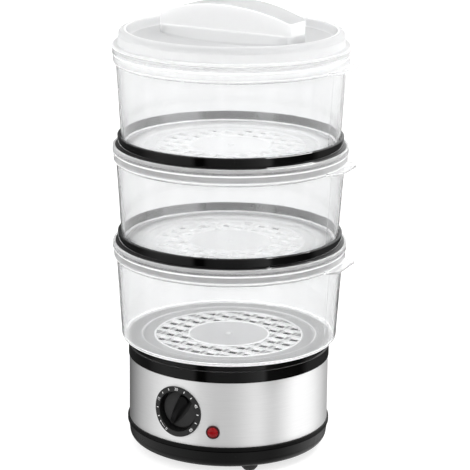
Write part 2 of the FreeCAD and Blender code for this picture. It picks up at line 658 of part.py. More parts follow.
def timer_knob():
    """Black knob: a hollow-backed disc and a grip that widens to one end, on a flatted socket."""
    back = knob_back()
    face = back + KNOB_DISC
    web = face - KNOB_WALL
    r = KNOB_RADIUS
    knob = turned(
        (0, back), (KNOB_HUB_RADIUS, back), (KNOB_HUB_RADIUS, web), (r - KNOB_WALL, web),
        (r - KNOB_WALL, back), (r, back), (r, face - KNOB_EDGE), (r - KNOB_EDGE, face), (0, face))
    foot = grip_outline(r - KNOB_EDGE, GRIP_FOOT, face - 0.5)
    crest = grip_outline(r - KNOB_EDGE * 2, GRIP_CREST, back + KNOB_HEIGHT)
    arch = Part.makeCylinder(GRIP_ARC, 2 * r, Vector(GRIP_PEAK, -r, back + KNOB_HEIGHT - GRIP_ARC), Vector(0, 1, 0))
    grip = Part.makeLoft([foot, crest], True, False).common(arch)
    grip.rotate(Vector(0, 0, 0), Vector(0, 0, 1), 90)
    knob = knob.fuse(grip)
    knob = knob.cut(shaft_section(SHAFT_RADIUS + PRESS, SHAFT_FLAT + PRESS, 0, back + KNOB_HEIGHT - KNOB_SOCKET_TOP))
    knob.rotate(Vector(0, 0, 0), Vector(0, 0, 1), -KNOB_REST_ANGLE)
    return radial(knob, 0, DIAL_CENTRE_HEIGHT)


def timer_shaft():
    back = knob_back()
    flatted = shaft_section(SHAFT_RADIUS, SHAFT_FLAT, back, back + KNOB_HEIGHT - KNOB_SOCKET_TOP - GAP)
    shaft = rod(SHAFT_RADIUS, TIMER_FACE - SHAFT_DEPTH, back).fuse(flatted)
    shaft.rotate(Vector(0, 0, 0), Vector(0, 0, 1), -KNOB_REST_ANGLE)
    return radial(shaft, 0, DIAL_CENTRE_HEIGHT)


# ---------------------------------------------------------------- pilot lamp
def lamp_holder():
    """Dark holder: a flange on the steel and a stem through it, hollow for the neon."""
    seat = STEEL_RADIUS + PRESS
    front = seat + LAMP_FLANGE
    stem = LAMP_STEM_RADIUS
    wall = 0.9
    lens = LAMP_LENS_RADIUS + PRESS
    bottom = seat - LAMP_DEPTH
    holder = turned(
        (0, bottom), (stem, bottom), (stem, seat), (LAMP_FLANGE_RADIUS, seat),
        (LAMP_FLANGE_RADIUS, front - 0.5), (LAMP_FLANGE_RADIUS - 0.5, front), (lens, front),
        (lens, front - LAMP_LENS_SEAT), (stem - wall, front - LAMP_LENS_SEAT), (stem - wall, bottom + wall),
        (0, bottom + wall))
    return radial(holder, LAMP_ANGLE, LAMP_HEIGHT)


def lamp_lens():
    seat = STEEL_RADIUS + PRESS + LAMP_FLANGE - LAMP_LENS_SEAT
    edge = seat + LAMP_LENS_SEAT
    r = LAMP_LENS_RADIUS
    crown = edge + LAMP_LENS_CROWN
    lens = turned((0, seat), (r, seat), (r, edge), ((r * 0.62, edge + LAMP_LENS_CROWN * 0.72), (r * 0.1, crown)),
                  (0, crown))
    return radial(lens, LAMP_ANGLE, LAMP_HEIGHT)


def neon_bulb():
    """Glass neon bulb that stands in the lamp holder's stem."""
    bottom = STEEL_RADIUS + PRESS - LAMP_DEPTH + 0.9
    bulb = rod(2.4, bottom, bottom + 9).fuse(Part.makeSphere(2.4, Vector(0, 0, bottom + 9)))
    return radial(bulb, LAMP_ANGLE, LAMP_HEIGHT)


# ---------------------------------------------------------------- mains inlet and wiring
def cord_grommet():
    """Bush in the back of the pan that the mains lead passes through."""
    outer = STEEL_RADIUS + PAN_LIP - 0.8
    inner = outer - INLET_BOSS_DEPTH
    bush = turned(
        (GROMMET_BORE, inner - GROMMET_LIP), (GROMMET_FLANGE - 0.6, inner - GROMMET_LIP),
        (GROMMET_FLANGE, inner), (GROMMET_NECK, inner), (GROMMET_NECK, outer), (GROMMET_FLANGE, outer),
        (GROMMET_FLANGE - 0.6, outer + GROMMET_LIP), (GROMMET_BORE, outer + GROMMET_LIP))
    return radial(bush, 180, INLET_HEIGHT)


def terminal_block():
    """Three-way block on the pan's floor, with a screw over each way."""
    half = BLOCK_WIDTH / 2
    top = PAN_INSIDE + BLOCK_HEIGHT
    body = block(-half, half, BLOCK_OFFSET - BLOCK_DEPTH / 2, BLOCK_OFFSET + BLOCK_DEPTH / 2, PAN_INSIDE, top)
    wells = [rod(2.0, top - 4, top + 1, way * BLOCK_PITCH, BLOCK_OFFSET) for way in (-1, 0, 1)]
    return body.cut(Part.makeCompound(wells))


def terminal_screws():
    top = PAN_INSIDE + BLOCK_HEIGHT
    return Part.makeCompound([rod(1.9, top - 4, top - 1, way * BLOCK_PITCH, BLOCK_OFFSET) for way in (-1, 0, 1)])


def block_front(way):
    """Where a wire leaves the terminal block, towards the front."""
    return (way * BLOCK_PITCH, BLOCK_OFFSET - BLOCK_DEPTH / 2, WIRE_LEVEL)


def timer_blade(side):
    """Lower end of one of the timer's blades."""
    return (side * TIMER_WIDTH / 4, -(TIMER_FACE + TIMER_BACK) / 2,
            DIAL_CENTRE_HEIGHT - TIMER_HEIGHT / 2 - BLADE_LENGTH)


def heater_pin(side):
    return (side * HEATER_LEG_OFFSET, HEATER_LEG_END + HEATER_PIN_LENGTH, HEATER_LEVEL)


def thermostat_blade(side):
    return (side * BLADE_WIDTH, -THERMOSTAT_OFFSET, PLATE_UNDERSIDE - THERMOSTAT_HEIGHT - BLADE_LENGTH)


def fuse_crimp(side):
    return (side * (FUSE_LENGTH / 2 + 4), FUSE_OFFSET, PLATE_UNDERSIDE - FUSE_RADIUS - PRESS - 4)


def route(start, *moves):
    """Points of a wire: the start, and then each next point as a move from the last."""
    points = [start]
    for dx, dy, dz in moves:
        x, y, z = points[-1]
        points.append((x + dx, y + dy, z + dz))
    return points


def to(points, *ends):
    return points + list(ends)


def wire_live():
    x, y, z = timer_blade(-1)
    run = route(block_front(-1), (0, -10, 0), (-22, -26, 1))
    return tube(to(run, (x - 18, y + 34, WIRE_LEVEL), (x, y + 10, WIRE_LEVEL), (x, y, z - 6), (x, y, z)),
                WIRE_RADIUS)


def wire_neutral():
    x, y, z = heater_pin(1)
    run = route(block_front(1), (0, -8, 0), (6, -2, 12))
    return tube(to(run, (x + 5, y + 9, z - 10), (x, y + 10, z), (x, y, z)), WIRE_RADIUS)


def wire_earth():
    end = STRAP_REACH - 4
    run = route(block_front(0), (0, -11, 0), (24, -24, 1))
    return tube(to(run, (end, 0, WIRE_LEVEL + 10), (end, 0, TANK_UNDERSIDE - STRAP_SHEET)), WIRE_RADIUS)


def wire_switched():
    x, y, z = timer_blade(1)
    tx, ty, tz = thermostat_blade(1)
    run = route((x, y, z), (0, 0, -8), (4, 28, -3))
    return tube(to(run, (tx + 4, ty - 8, tz - 10), (tx, ty, tz - 5), (tx, ty, tz)), WIRE_RADIUS)


def wire_fuse():
    x, y, z = thermostat_blade(-1)
    fx, fy, fz = fuse_crimp(-1)
    run = route((x, y, z), (0, 0, -6), (-12, 8, -3))
    return tube(to(run, (fx - 5, fy - 8, fz - 16), (fx, fy, fz - 7), (fx, fy, fz)), WIRE_RADIUS)


def wire_element():
    x, y, z = fuse_crimp(1)
    hx, hy, hz = heater_pin(-1)
    run = route((x, y, z), (0, 0, -8), (-11, 17, -2))
    return tube(to(run, (hx - 1, hy - 4, hz - 14), (hx, hy + 9, hz - 7), (hx, hy + 10, hz), (hx, hy, hz)),
                WIRE_RADIUS)


def lamp_leads():
    """Two thin leads from the neon, one to the timer's case and one to the terminal block."""
    a = math.radians(LAMP_ANGLE)
    back = STEEL_RADIUS + PRESS - LAMP_DEPTH
    out = Vector(math.sin(a), -math.cos(a), 0)
    leads = []
    case_x = TIMER_WIDTH / 2 - 3.5
    case_z = LAMP_HEIGHT + 4
    for lift in (-2, 2):
        start = out * back
        far = out * (back - 8)
        points = [(start.x, start.y, LAMP_HEIGHT + lift), (far.x, far.y, LAMP_HEIGHT + lift)]
        if lift > 0:
            points += [(case_x + 4, 8 - TIMER_BACK, case_z), (case_x, 8 - TIMER_BACK, case_z),
                       (case_x, -TIMER_BACK, case_z)]
        else:
            points += [(34, -34, WIRE_LEVEL + 8), (34, 6, WIRE_LEVEL), (19, 40, WIRE_LEVEL - 1),
                       (BLOCK_PITCH + 3, BLOCK_OFFSET - BLOCK_DEPTH / 2 - 7, WIRE_LEVEL),
                       (BLOCK_PITCH + 3, BLOCK_OFFSET - BLOCK_DEPTH / 2, WIRE_LEVEL)]
        leads.append(tube(points, LEAD_RADIUS))
    return Part.makeCompound(leads)


# ---------------------------------------------------------------- sleeve and tray
def steam_sleeve():
    """Tapered sleeve round the plate; notches at its foot let water in to boil."""
    low = TANK_FLOOR_TOP
    high = low + SLEEVE_HEIGHT
    t = TRAY_WALL
    sleeve = turned((SLEEVE_RADIUS - t, low), (SLEEVE_RADIUS, low), (SLEEVE_TOP_RADIUS, high),
                    (SLEEVE_TOP_RADIUS - t, high))
    half = SLEEVE_NOTCH / 2
    notch = block(-half, half, -SLEEVE_RADIUS - 5, -SLEEVE_TOP_RADIUS + 5, low - 1, low + SLEEVE_NOTCH_HEIGHT)
    for i in range(SLEEVE_NOTCHES):
        turn = notch.copy()
        turn.rotate(Vector(0, 0, 0), Vector(0, 0, 1), 360 / SLEEVE_NOTCHES * (i + 0.5))
        sleeve = sleeve.cut(turn)
    return sleeve


def drip_tray():
    """Black tray that catches drips; steam rises through the chimney in its middle."""
    under = TRAY_TOP - TRAY_DEPTH
    floor = under + TRAY_WALL
    t = TRAY_WALL
    basin = TANK_MOUTH_RADIUS - GAP - 0.3
    lean = 2.4
    chimney = CHIMNEY_RADIUS
    top = TRAY_TOP - CHIMNEY_DROP
    return turned(
        (chimney, under), (basin - lean, under), (basin, TANK_TOP), (TRAY_RADIUS, TANK_TOP),
        (TRAY_RADIUS, TRAY_TOP - 0.8), (TRAY_RADIUS - 0.8, TRAY_TOP), (basin - t, TRAY_TOP),
        (basin - lean - t, floor), (chimney + t, floor), (chimney + t, top), (chimney, top))


# ---------------------------------------------------------------- baskets, rings and lid
def grille_holes():
    """Square holes on a grid, trimmed to the ring between the grille's two rims."""
    reach = int(GRILLE_OUTER / GRILLE_PITCH) + 1
    keep_in = GRILLE_INNER + GRILLE_RIM + GRILLE_MIN / 2
    keep_out = GRILLE_OUTER - GRILLE_MIN / 2
    half = GRILLE_HOLE / 2
    holes = []
    for i in range(-reach, reach + 1):
        for j in range(-reach, reach + 1):
            x = i * GRILLE_PITCH
            y = j * GRILLE_PITCH
            if keep_in < math.hypot(x, y) < keep_out:
                holes.append(block(x - half, x + half, y - half, y + half, -5, 5))
    ring = rod(GRILLE_OUTER, -5, 5).cut(rod(GRILLE_INNER + GRILLE_RIM, -5, 5))
    return Part.makeCompound(holes).common(ring)


def lifting_tab():
    """Thin rounded ear under the collar, to lift the basket by."""
    top = SHELF
    outer = COLLAR_RADIUS + TAB_REACH
    half = TAB_WIDTH / 2
    tab = block(COLLAR_INSIDE - 6, outer, -half, half, top - TAB_SHEET, top)
    ends = [e for e in tab.Edges if e.BoundBox.XMin > outer - 1 and e.BoundBox.ZLength > 1]
    tab = tab.makeFillet(TAB_CORNER, ends)
    tab = tab.cut(rod(COLLAR_INSIDE + WALL / 2, 0, BASKET_HEIGHT))
    tab.rotate(Vector(0, 0, 0), Vector(0, 0, 1), TAB_ANGLE - 90)
    return tab


def basket():
    """Clear basket, foot at height 0: flared wall, stepped collar, and a grille in its sunk floor."""
    foot = BASKET_FOOT_RADIUS
    low = BASKET_LOW_RADIUS
    high = BASKET_TOP_RADIUS
    corner = BASKET_CORNER
    top = BASKET_HEIGHT
    collar_low = top - COLLAR_HEIGHT
    band = top - COLLAR_BAND
    inner = COLLAR_RADIUS - COLLAR_STEP
    step = foot - FLOOR_FOOT
    under = -FLOOR_SINK
    floor = under + BASKET_FLOOR
    rim = floor + GRILLE_RIM_HEIGHT
    shell = turned(
        (0, under), (step + 0.6 - FLOOR_SINK, under), (step + 0.6, 0), (foot, 0),
        (bent(foot, corner, corner, -40), (low, corner)),
        (high, collar_low - WALL), (inner - 0.6, collar_low - 0.6), (inner, collar_low + 0.4), (inner, band),
        (COLLAR_RADIUS, band + 0.5), (COLLAR_RADIUS, top - 0.7), (COLLAR_RADIUS - 0.7, top),
        (COLLAR_INSIDE, top), (COLLAR_INSIDE, SHELF), (high - WALL, SHELF),
        (low - WALL, corner), (foot - WALL, BASKET_FLOOR), (step, BASKET_FLOOR), (step - FLOOR_SINK, floor),
        (GRILLE_OUTER + GRILLE_RIM, floor), (GRILLE_OUTER + GRILLE_RIM / 2, rim), (GRILLE_OUTER, floor),
        (GRILLE_INNER + GRILLE_RIM, floor), (GRILLE_INNER + GRILLE_RIM / 2, rim), (GRILLE_INNER, floor),
        (3, floor), (2.4, rim), (0, rim))
    return shell.cut(grille_holes()).fuse(lifting_tab()).removeSplitter()


def carrier_ring():
    """Black ring, heights from the foot of the basket below it: a skirt on that basket's shelf,
    a ledge for the next basket and an upstand that keeps the two in line."""
    t = RING_WALL
    skirt = COLLAR_INSIDE - GAP
    ledge = STACK_PITCH
    crest = BASKET_HEIGHT + RING_STAND
    lean = BASKET_FLARE / (SHELF - BASKET_CORNER)
    mouth = BASKET_LOW_RADIUS + lean * (crest - ledge - BASKET_CORNER) + RING_GRIP
    waist = BASKET_LOW_RADIUS + RING_GRIP
    shoulder = BASKET_HEIGHT + 0.8
    inner_edge = BASKET_FOOT_RADIUS - RING_LEDGE
    return turned(
        (skirt - t, SHELF), (skirt, SHELF), (skirt, shoulder - 0.8), (skirt - 0.8, shoulder),
        (waist + RING_CREST, shoulder + 0.6), (mouth + RING_CREST, crest - 0.6),
        (mouth + RING_CREST - 0.6, crest), (mouth, crest), (waist, ledge),
        (inner_edge, ledge), (inner_edge, ledge - t - RING_LIP),
        (inner_edge + t, ledge - t - RING_LIP), (inner_edge + t, ledge - t), (skirt - t, ledge - t))


def handle_solid(shrink, base):
    """Boat-shaped grip from a height up to its arched crest, smaller all round by a wall."""
    length = HANDLE_LENGTH / 2 - shrink
    disc = lid_disc()
    waist = disc + HANDLE_WAIST_RISE
    crest = disc + HANDLE_RISE - shrink
    end_rise = disc + HANDLE_END_RISE - shrink
    corner = HANDLE_CORNER - shrink
    end = HANDLE_END - shrink
    middle = HANDLE_WAIST - shrink
    deck = boat(length, end, middle, waist, corner)
    foot = Part.makeLoft([boat(length, end, HANDLE_FOOT - shrink, base, corner), deck], True, False)
    above = disc + HANDLE_RISE + 2
    grip = Part.makeLoft([deck, boat(length, end, HANDLE_TOP - shrink, above, corner)], True, False)
    arch = Part.Wire([
        Part.makeLine(Vector(-length - 1, -60, waist - 1), Vector(length + 1, -60, waist - 1)),
        Part.makeLine(Vector(length + 1, -60, waist - 1), Vector(length + 1, -60, end_rise)),
        Part.Arc(Vector(length + 1, -60, end_rise), Vector(0, -60, crest),
                 Vector(-length - 1, -60, end_rise)).toShape(),
        Part.makeLine(Vector(-length - 1, -60, end_rise), Vector(-length - 1, -60, waist - 1))])
    grip = grip.common(Part.Face(arch).extrude(Vector(0, 120, 0)))
    return foot.fuse(grip)


def lid_seat():
    """Height of the top basket's rim, where the lid's flange rests."""
    return TRAY_TOP + 2 * STACK_PITCH + BASKET_HEIGHT


def lid_disc():
    return lid_seat() + LID_SIDE - LID_RECESS


def lid():
    """Frosted lid: skirt and flange, rounded shoulder, sunken disc, and a hollow handle."""
    seat = lid_seat()
    shoulder = seat + LID_SIDE
    disc = lid_disc()
    skirt = COLLAR_INSIDE - GAP
    side = LID_SIDE_RADIUS
    edge = LID_SHOULDER_RADIUS
    bead = edge - LID_BEAD
    flange = COLLAR_RADIUS + LID_FLANGE_OUT
    skirt_in = skirt - WALL
    bend = (edge + side) / 2 + 1.2
    under = disc - WALL
    shell = turned(
        (skirt_in, seat - LID_SKIRT), (skirt, seat - LID_SKIRT), (skirt, seat), (flange, seat),
        (flange, seat + LID_FLANGE), (side + 0.4, seat + LID_FLANGE + 0.3), (side - 0.5, shoulder - 5.5),
        ((bend, shoulder - 1.4), (edge, shoulder)), (bead, shoulder), (bead - 2, disc + 1), (bead - 3, disc),
        (0, disc), (0, under), (bead - 2, under), (bead, disc - 0.6), (bead + 1.0, shoulder - WALL),
        (edge, shoulder - WALL), (side - 0.5 - WALL, shoulder - 5.8), (skirt_in, seat - 1))
    hollow = handle_solid(WALL, under - 1)
    return shell.fuse(handle_solid(0, disc - 0.5)).cut(hollow)


NODES = {
    "base_pan": base_pan, "rubber_feet": rubber_feet, "base_screws": base_screws,
    "steel_sleeve": steel_sleeve, "tank_housing": tank_housing,
    "evaporator_plate": evaporator_plate, "plate_gasket": plate_gasket, "heater_tube": heater_tube,
    "clamp_strap": clamp_strap, "clamp_nut": clamp_nut, "thermostat": thermostat,
    "thermal_fuse": thermal_fuse,
    "timer_body": timer_body, "timer_bell": timer_bell, "bell_screw": bell_screw,
    "timer_screws": timer_screws, "dial_plate": dial_plate, "timer_knob": timer_knob,
    "timer_shaft": timer_shaft,
    "lamp_holder": lamp_holder, "lamp_lens": lamp_lens, "neon_bulb": neon_bulb,
    "cord_grommet": cord_grommet, "terminal_block": terminal_block, "terminal_screws": terminal_screws,
    "wire_live": wire_live, "wire_neutral": wire_neutral, "wire_earth": wire_earth,
    "wire_switched": wire_switched, "wire_fuse": wire_fuse, "wire_element": wire_element,
    "lamp_leads": lamp_leads,
    "steam_sleeve": steam_sleeve, "drip_tray": drip_tray, "lid": lid,
}


def main():
    os.makedirs("parts", exist_ok=True)
    shapes = {name: build() for name, build in NODES.items()}
    tier = basket()
    ring = carrier_ring()
    for level, name in enumerate(("basket_bottom", "basket_middle", "basket_top")):
        shapes[name] = raised(tier, TRAY_TOP + level * STACK_PITCH)
    for level, name in enumerate(("carrier_ring_lower", "carrier_ring_upper")):
        shapes[name] = raised(ring, TRAY_TOP + level * STACK_PITCH)
    for name, shape in shapes.items():
        print(f"{name:20s} solids {len(shape.Solids)}  valid {shape.isValid()}  volume {shape.Volume / 1000:8.2f} cm3")
        shape.exportStep(f"parts/{name}.step")


main()
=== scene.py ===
import math

import bpy
import numpy as np
from mathutils import Matrix, Vector


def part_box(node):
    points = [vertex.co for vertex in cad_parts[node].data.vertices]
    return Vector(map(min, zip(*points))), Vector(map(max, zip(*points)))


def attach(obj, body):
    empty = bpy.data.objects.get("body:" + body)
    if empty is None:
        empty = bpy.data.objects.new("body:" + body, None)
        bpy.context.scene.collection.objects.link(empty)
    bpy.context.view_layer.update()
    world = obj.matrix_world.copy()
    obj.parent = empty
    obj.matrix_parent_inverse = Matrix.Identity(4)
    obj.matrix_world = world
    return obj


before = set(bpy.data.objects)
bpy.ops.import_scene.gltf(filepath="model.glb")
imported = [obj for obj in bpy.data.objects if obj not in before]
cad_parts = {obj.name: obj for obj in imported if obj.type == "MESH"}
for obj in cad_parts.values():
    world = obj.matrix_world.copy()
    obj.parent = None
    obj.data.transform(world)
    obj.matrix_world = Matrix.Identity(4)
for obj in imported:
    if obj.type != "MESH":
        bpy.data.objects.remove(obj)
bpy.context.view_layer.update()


# ---------------------------------------------------------------- base pan
# The black pan at the bottom, with the feet under it. It is moulded in polypropylene with a
# fine spark texture, and the steel band stands on its lip.
class Value:
    """What a shader node gives out, so that sums of patterns read as sums."""

    def __init__(self, finish, socket):
        self.finish = finish
        self.socket = socket

    def combine(self, operation, first, second):
        return self.finish.add("Math", {"operation": operation}, {0: first, 1: second})

    def __add__(self, other):
        return self.combine("ADD", self, other)

    def __radd__(self, other):
        return self.combine("ADD", other, self)

    def __sub__(self, other):
        return self.combine("SUBTRACT", self, other)

    def __rsub__(self, other):
        return self.combine("SUBTRACT", other, self)

    def __mul__(self, other):
        return self.combine("MULTIPLY", self, other)

    def __rmul__(self, other):
        return self.combine("MULTIPLY", other, self)


class Finish:
    """A material while it is built. Each node is one call, and what it gives out is a Value."""

    def __init__(self, name):
        self.material = bpy.data.materials.new(name)
        self.material.use_nodes = True
        self.tree = self.material.node_tree
        self.tree.nodes.clear()

    def add(self, kind, settings=None, inputs=None, output=0):
        """One shader node: its settings first, then its inputs."""
        node = self.tree.nodes.new("ShaderNode" + kind)
        for name, value in (settings or {}).items():
            setattr(node, name, value)
        for name, value in (inputs or {}).items():
            if isinstance(value, Value):
                self.tree.links.new(value.socket, node.inputs[name])
            else:
                node.inputs[name].default_value = value
        return Value(self, node.outputs[output]) if len(node.outputs) else None

    def place(self, stretch=(1, 1, 1)):
        """Position on the piece in metres, stretched along each axis."""
        where = self.add("TexCoord", output="Object")
        return self.add("VectorMath", {"operation": "MULTIPLY"}, {0: where, 1: stretch})

    def axis(self, name):
        """That coordinate of the position, in metres."""
        return self.add("SeparateXYZ", {}, {0: self.place()}, name)

    def radius(self):
        """Distance from the stack's axis, in metres."""
        return self.add("VectorMath", {"operation": "LENGTH"}, {0: self.place((1, 1, 0))}, 1)

    def noise(self, scale, stretch=(1, 1, 1), detail=2.0):
        """Cloudy pattern from 0 to 1 with that many blotches a metre."""
        return self.add("TexNoise", {}, {"Vector": self.place(stretch), "Scale": scale, "Detail": detail})

    def fade(self, value, low, high, start, end):
        """start where value is under low, end where it is over high, and smooth between."""
        limits = {"Value": value, "From Min": low, "From Max": high, "To Min": start, "To Max": end}
        return self.add("MapRange", {"interpolation_type": "SMOOTHSTEP"}, limits)

    def over(self, value, limit, soft):
        """0 up to limit, and 1 from limit + soft on."""
        return self.fade(value, limit, limit + soft, 0.0, 1.0)

    def under(self, value, limit, soft):
        """1 up to limit, and 0 from limit + soft on."""
        return self.fade(value, limit, limit + soft, 1.0, 0.0)

    def size(self, value):
        """value without its sign."""
        return self.add("Math", {"operation": "ABSOLUTE"}, {0: value})

    def line(self, value, centre, half):
        """1 where value is near centre, 0 from half away on, and soft between."""
        return self.under(self.size(value - centre), half * 0.5, half * 0.5)

    def least(self, first, second):
        """The smaller of the two, point by point."""
        return self.add("Math", {"operation": "MINIMUM"}, {0: first, 1: second})

    def most(self, first, second):
        """The larger of the two, point by point."""
        return self.add("Math", {"operation": "MAXIMUM"}, {0: first, 1: second})

    def tint(self, factor, first, second):
        """Colour that goes from first to second as factor goes from 0 to 1."""
        return self.add("Mix", {"data_type": "RGBA"}, {0: factor, 6: (*first, 1), 7: (*second, 1)}, 2)

    def bump(self, height, depth):
        """Normal of a surface that rises by depth metres where height is 1."""
        return self.add("Bump", {}, {"Height": height, "Distance": depth}, "Normal")

    def cover(self, shader, *nodes):
        """Ends the material with shader and puts it on those CAD nodes."""
        self.add("OutputMaterial", {}, {"Surface": shader})
        for node in nodes:
            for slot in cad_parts[node].material_slots:
                slot.material = self.material


CLOUDS = 35.0         # blotches a metre in a moulding's colour
RUBS = 12.0           # rubbed patches a metre


def grey(level):
    """Neutral colour of that level."""
    return (level, level, level)


def worn(finish, gloss, speck):
    """Roughness about gloss that varies with the grain and with patches rubbed by hand."""
    rub = finish.noise(RUBS, detail=5.0)
    return gloss + (rub - 0.5) * 0.12 + (speck - 0.5) * 0.06


def moulded(name, dark, light, gloss, grain, depth, nodes, level=0.5):
    """Moulded plastic: a fine texture, a little cloud in the colour, and rubbed patches."""
    finish = Finish(name)
    speck = finish.noise(grain)
    cloud = finish.noise(CLOUDS, detail=4.0)
    shader = finish.add("BsdfPrincipled", {}, {
        "Base Color": finish.tint(cloud, dark, light),
        "Roughness": worn(finish, gloss, speck),
        "Specular IOR Level": level,
        "Normal": finish.bump(speck, depth),
    })
    finish.cover(shader, *nodes)
    return finish


moulded("black_satin", grey(0.0015), grey(0.003), gloss=0.28, grain=2600.0, depth=0.00001,
        nodes=["base_pan"], level=0.12)


# ---------------------------------------------------------------- rubber feet
# Four grey-black rubber buttons pressed into the pan's floor. They are compression
# moulded, matt, and a little dusty on the side.
moulded("rubber", grey(0.010), (0.022, 0.021, 0.020), gloss=0.72, grain=1400.0, depth=0.00004,
        nodes=["rubber_feet"])


# ---------------------------------------------------------------- screws, clamp, shaft and metal parts
# Zinc-plated steel screws, strap, nut and timer bell, the plain steel shaft and plate, the
# heating element's dark sheath and the brass terminal screws. All have a faint cloud of colour.
PIT_DEPTH = 0.00002


def plated(name, dark, light, gloss, nodes):
    """Bare or plated metal: plating cloud, fine pits and handling marks in the gloss."""
    finish = Finish(name)
    pits = finish.noise(1900.0, detail=3.0)
    cloud = finish.noise(90.0, detail=5.0)
    shader = finish.add("BsdfPrincipled", {}, {
        "Base Color": finish.tint(cloud, dark, light),
        "Metallic": 1.0,
        "Roughness": gloss + (cloud - 0.5) * 0.22 + (pits - 0.5) * 0.08,
        "Normal": finish.bump(pits, PIT_DEPTH),
    })
    finish.cover(shader, *nodes)


plated("screw_steel", (0.42, 0.43, 0.44), (0.66, 0.66, 0.64), gloss=0.34,
       nodes=["base_screws", "bell_screw", "timer_screws"])
plated("zinc_steel", (0.45, 0.46, 0.48), (0.62, 0.61, 0.55), gloss=0.42, nodes=["clamp_strap", "clamp_nut"])
plated("bell_steel", grey(0.58), (0.74, 0.74, 0.72), gloss=0.24, nodes=["timer_bell"])
plated("shaft_steel", grey(0.50), (0.64, 0.63, 0.61), gloss=0.30, nodes=["timer_shaft"])
plated("plate_steel", grey(0.52), (0.70, 0.69, 0.66), gloss=0.33, nodes=["evaporator_plate"])
plated("element_sheath", (0.16, 0.155, 0.15), (0.33, 0.31, 0.28), gloss=0.46, nodes=["heater_tube"])
plated("terminal_brass", (0.56, 0.40, 0.17), (0.76, 0.59, 0.28), gloss=0.30, nodes=["terminal_screws"])


# ---------------------------------------------------------------- moulded parts inside the base
# The silicone seal under the plate, the thermostat's ceramic body, the fuse in its
# sleeve, and the moulded cases of the timer and the terminal block.
moulded("silicone", (0.42, 0.10, 0.06), (0.52, 0.15, 0.10), gloss=0.55, grain=1600.0, depth=0.00003,
        nodes=["plate_gasket"])
moulded("thermostat_ceramic", (0.62, 0.58, 0.50), (0.74, 0.71, 0.64), gloss=0.62, grain=2200.0,
        depth=0.00003, nodes=["thermostat"])
moulded("fuse_sleeve", (0.58, 0.58, 0.54), (0.70, 0.70, 0.66), gloss=0.66, grain=3000.0, depth=0.00005,
        nodes=["thermal_fuse"])
moulded("timer_case", (0.55, 0.54, 0.50), (0.66, 0.65, 0.61), gloss=0.44, grain=1500.0, depth=0.00002,
        nodes=["timer_body"])
moulded("block_nylon", (0.66, 0.64, 0.58), (0.76, 0.74, 0.69), gloss=0.50, grain=1700.0, depth=0.00003,
        nodes=["terminal_block"])


# ---------------------------------------------------------------- wires and cord inlet
# Stranded copper in coloured insulation, with thin black leads to the lamp. The insulation
# is extruded. The inlet's grommet is black rubber.
for wire, dark, light in (
    ("wire_brown", (0.075, 0.030, 0.015), (0.115, 0.050, 0.025)),
    ("wire_blue", (0.015, 0.075, 0.33), (0.03, 0.11, 0.42)),
    ("wire_green", (0.10, 0.30, 0.04), (0.42, 0.42, 0.03)),
    ("wire_red", (0.38, 0.020, 0.015), (0.48, 0.035, 0.025)),
    ("wire_white", (0.62, 0.61, 0.57), (0.74, 0.73, 0.70)),
):
    nodes = []
    for name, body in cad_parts.items():
        slots = [slot.material.name.split(".")[0] for slot in body.material_slots if slot.material]
        if wire in slots:
            nodes.append(name)
    moulded(wire, dark, light, gloss=0.48, grain=1300.0, depth=0.00003, nodes=nodes)
moulded("lead_black", grey(0.012), grey(0.022), gloss=0.46, grain=1300.0, depth=0.00003,
        nodes=["lamp_leads"])
moulded("grommet_black", grey(0.010), grey(0.018), gloss=0.58, grain=1500.0, depth=0.00004,
        nodes=["cord_grommet"])


# ---------------------------------------------------------------- steel band
# Stainless sheet rolled to a ring and seam-welded at the back, brushed round the ring
# before it is cut, so the grain runs level. It stands on the pan's lip, under the tank's flange.
LEVEL_GRAIN = (28.0, 28.0, 9000.0)        # blotches a metre along x, y and z
BRUSH_LINES = (60.0, 60.0, 2600.0)
GRAIN_DEPTH = 0.000006


def brushed():
    """Level grain: streaks two to four centimetres long and a few tenths of a millimetre high."""
    finish = Finish("brushed_band")
    grain = finish.noise(1.0, LEVEL_GRAIN, 4.0)
    lines = finish.noise(1.0, BRUSH_LINES, 2.0)
    cloud = finish.noise(9.0, detail=3.0)
    shader = finish.add("BsdfPrincipled", {}, {
        "Base Color": finish.tint(grain * 0.6 + lines * 0.4, grey(0.70), grey(0.92)),
        "Metallic": 1.0,
        "Roughness": 0.42 + (lines - 0.5) * 0.08 + (cloud - 0.5) * 0.05,
        "Anisotropic": 1.0,
        "Anisotropic Rotation": 0.25,
        "Normal": finish.bump(grain, GRAIN_DEPTH),
    })
    finish.cover(shader, "steel_sleeve")


brushed()


# ---------------------------------------------------------------- tank, drip tray and carrier rings
# Glossy black ABS. The tank's flange closes the steel band, the tray lies in it, and a ring
# stands on each of the two lower baskets. They are moulded in polished tools.
GLOSS = 0.06
GLOSS_GRAIN = 500.0
GLOSS_DEPTH = 0.000004
RING_INSIDE = 0.0970
# painted reflection inside the rings: angle round from -Y, half width and strength of each pale patch
PAINTED_REFLECTIONS = ((-2.13, 0.26, 1.0), (-1.88, 0.22, 0.35), (-2.97, 0.12, 0.4))

moulded("black_gloss", grey(0.0008), grey(0.002), gloss=GLOSS, grain=GLOSS_GRAIN, depth=GLOSS_DEPTH,
        nodes=["tank_housing", "drip_tray"])


